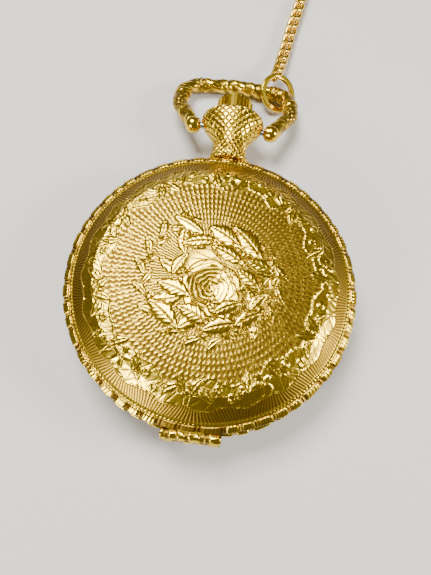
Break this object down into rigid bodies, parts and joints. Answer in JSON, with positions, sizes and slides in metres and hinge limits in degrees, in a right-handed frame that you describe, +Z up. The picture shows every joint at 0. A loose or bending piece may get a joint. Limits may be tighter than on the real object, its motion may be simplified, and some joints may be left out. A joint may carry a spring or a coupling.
{
  "type": "fob watch",
  "caption": "Gold-plated hunter fob watch with chased hinged covers, fluted crown, stirrup bow and a curb chain with a T-bar.",
  "frame": {"origin": "centre of the back cover's flat resting face", "axes": "+Z up through the closed front lid, +Y out to the crown at 12 o'clock"},
  "size_m": [0.0732, 0.1328, 0.0126],
  "materials": {
    "gold_plate": "polished",
    "chain_gold": "polished",
    "steel": "satin",
    "blued_steel": "polished",
    "nickel_plate": "satin",
    "wheel_brass": "satin",
    "ruby": "polished",
    "enamel": "gloss",
    "crystal": "polished",
    "strap": "matt"
  },
  "bodies": {
    "case_body": {"case_band": "gold_plate", "hinge_pins": "steel", "bezel": "gold_plate", "crystal": "crystal", "dial": "enamel", "pendant": "gold_plate", "click_spring": "steel", "hairspring": "blued_steel", "regulator": "steel", "main_plate": "nickel_plate", "barrel_bridge": "nickel_plate", "train_bridge": "nickel_plate", "pallet_bridge": "nickel_plate", "balance_cock": "nickel_plate", "jewels": "ruby", "bridge_screws": "blued_steel", "movement_ring": "wheel_brass", "lid_lock_spring": "steel", "lid_lift_spring": "steel"},
    "lid": {"front_lid": "gold_plate"},
    "back": {"back_cover": "gold_plate"},
    "bow_body": {"bow": "gold_plate", "bow_pins": "steel"},
    "ring_body": {"jump_ring": "chain_gold", "chain_run": "chain_gold", "chain_coil": "chain_gold", "coil_tie": "strap", "end_bar": "chain_gold"},
    "stem_slider": {"stem_collar": "steel"},
    "crown_body": {"winding_crown": "gold_plate", "winding_stem": "steel", "sliding_pinion": "steel"},
    "winding_pinion_body": {"winding_pinion": "steel"},
    "setting_lever_body": {"setting_lever": "steel"},
    "crown_wheel_body": {"contrate_wheel": "steel", "crown_wheel": "steel"},
    "ratchet_body": {"ratchet_wheel": "steel", "ratchet_screw": "blued_steel", "barrel_arbor": "steel"},
    "click_body": {"click": "steel"},
    "barrel_body": {"barrel_drum": "wheel_brass", "barrel_cover": "wheel_brass", "mainspring": "steel"},
    "centre_body": {"centre_wheel": "wheel_brass", "cannon_pinion": "steel", "minute_hand": "blued_steel"},
    "third_body": {"third_wheel": "wheel_brass"},
    "fourth_body": {"fourth_wheel": "wheel_brass", "seconds_hand": "blued_steel"},
    "escape_body": {"escape_wheel": "steel"},
    "pallet_body": {"pallet_fork": "steel"},
    "balance_body": {"balance_wheel": "wheel_brass", "balance_staff": "steel"},
    "minute_wheel_body": {"minute_wheel": "wheel_brass"},
    "hour_body": {"hour_wheel": "wheel_brass", "hour_hand": "blued_steel"}
  },
  "joints": [
    {"name": "lid_hinge", "type": "hinge", "parent": "case_body", "child": "lid", "pos_m": [0, -0.02345, 0.00822], "axis": [1, 0, 0], "range_deg": [0, 105]},
    {"name": "back_hinge", "type": "hinge", "parent": "case_body", "child": "back", "pos_m": [0, -0.02345, 0.00438], "axis": [1, 0, 0], "range_deg": [-105, 0]},
    {"name": "bow_swivel", "type": "hinge", "parent": "case_body", "child": "bow_body", "pos_m": [0, 0.0309, 0.0063], "axis": [1, 0, 0], "range_deg": [-105, 138]},
    {"name": "ring_swing", "type": "hinge", "parent": "bow_body", "child": "ring_body", "pos_m": [0.00816, 0.04306, 0.00183], "axis": [0.9038, -0.4017, 0.1477], "range_deg": [-10, 10]},
    {"name": "crown_slide", "type": "slide", "parent": "case_body", "child": "stem_slider", "axis": [0, 1, 0], "range_m": [-0.0004, 0.0008]},
    {"name": "crown_turn", "type": "hinge", "parent": "stem_slider", "child": "crown_body", "pos_m": [0, 0.033, 0.0063], "axis": [0, 1, 0], "continuous": true},
    {"name": "winding_pinion_turn", "type": "hinge", "parent": "case_body", "child": "winding_pinion_body", "pos_m": [0, 0.0128, 0.0063], "axis": [0, 1, 0], "continuous": true},
    {"name": "crown_wheel_turn", "type": "hinge", "parent": "case_body", "child": "crown_wheel_body", "pos_m": [0, 0.01088, 0.003], "axis": [0, 0, 1], "continuous": true},
    {"name": "ratchet_turn", "type": "hinge", "parent": "case_body", "child": "ratchet_body", "pos_m": [-0.00706, 0.00492, 0.0048], "axis": [0, 0, 1], "continuous": true},
    {"name": "setting_lever_turn", "type": "hinge", "parent": "case_body", "child": "setting_lever_body", "pos_m": [0.0044, 0.0142, 0.0072], "axis": [0, 0, 1], "range_deg": [-11.6, 5.8]},
    {"name": "click_lift", "type": "hinge", "parent": "case_body", "child": "click_body", "pos_m": [-0.00515, 0.01215, 0.0022], "axis": [0, 0, 1], "range_deg": [0, 8]},
    {"name": "fourth_turn", "type": "hinge", "parent": "case_body", "child": "fourth_body", "pos_m": [0, -0.0082, 0.0048], "axis": [0, 0, 1], "continuous": true},
    {"name": "third_turn", "type": "hinge", "parent": "case_body", "child": "third_body", "pos_m": [0.00438, -0.00483, 0.0044], "axis": [0, 0, 1], "continuous": true},
    {"name": "centre_turn", "type": "hinge", "parent": "case_body", "child": "centre_body", "pos_m": [0, 0, 0.005], "axis": [0, 0, 1], "continuous": true},
    {"name": "barrel_turn", "type": "hinge", "parent": "case_body", "child": "barrel_body", "pos_m": [-0.00706, 0.00492, 0.0048], "axis": [0, 0, 1], "continuous": true},
    {"name": "escape_turn", "type": "hinge", "parent": "case_body", "child": "escape_body", "pos_m": [-0.00416, -0.00972, 0.004], "axis": [0, 0, 1], "continuous": true},
    {"name": "minute_wheel_turn", "type": "hinge", "parent": "case_body", "child": "minute_wheel_body", "pos_m": [0.00255, 0.00255, 0.0073], "axis": [0, 0, 1], "continuous": true},
    {"name": "hour_turn", "type": "hinge", "parent": "case_body", "child": "hour_body", "pos_m": [0, 0, 0.008], "axis": [0, 0, 1], "continuous": true},
    {"name": "pallet_rock", "type": "hinge", "parent": "case_body", "child": "pallet_body", "pos_m": [-0.0071, -0.00802, 0.00405], "axis": [0, 0, 1], "range_deg": [-5, 5]},
    {"name": "balance_swing", "type": "hinge", "parent": "case_body", "child": "balance_body", "pos_m": [-0.0097, -0.00652, 0.0032], "axis": [0, 0, 1], "range_deg": [-135, 135], "stiffness_Nm_per_rad": 0.000001}
  ],
  "couplings": [
    {"joint": "winding_pinion_turn", "follows": "crown_turn", "ratio": 1},
    {"joint": "crown_wheel_turn", "follows": "crown_turn", "ratio": 0.6},
    {"joint": "ratchet_turn", "follows": "crown_turn", "ratio": -0.33333},
    {"joint": "setting_lever_turn", "follows": "crown_slide", "rad_per_m": -250},
    {"joint": "third_turn", "follows": "fourth_turn", "ratio": -0.13333},
    {"joint": "centre_turn", "follows": "fourth_turn", "ratio": 0.016667},
    {"joint": "barrel_turn", "follows": "fourth_turn", "ratio": -0.0027778},
    {"joint": "escape_turn", "follows": "fourth_turn", "ratio": -10},
    {"joint": "minute_wheel_turn", "follows": "fourth_turn", "ratio": -0.0055556},
    {"joint": "hour_turn", "follows": "fourth_turn", "ratio": 0.0013889}
  ]
}
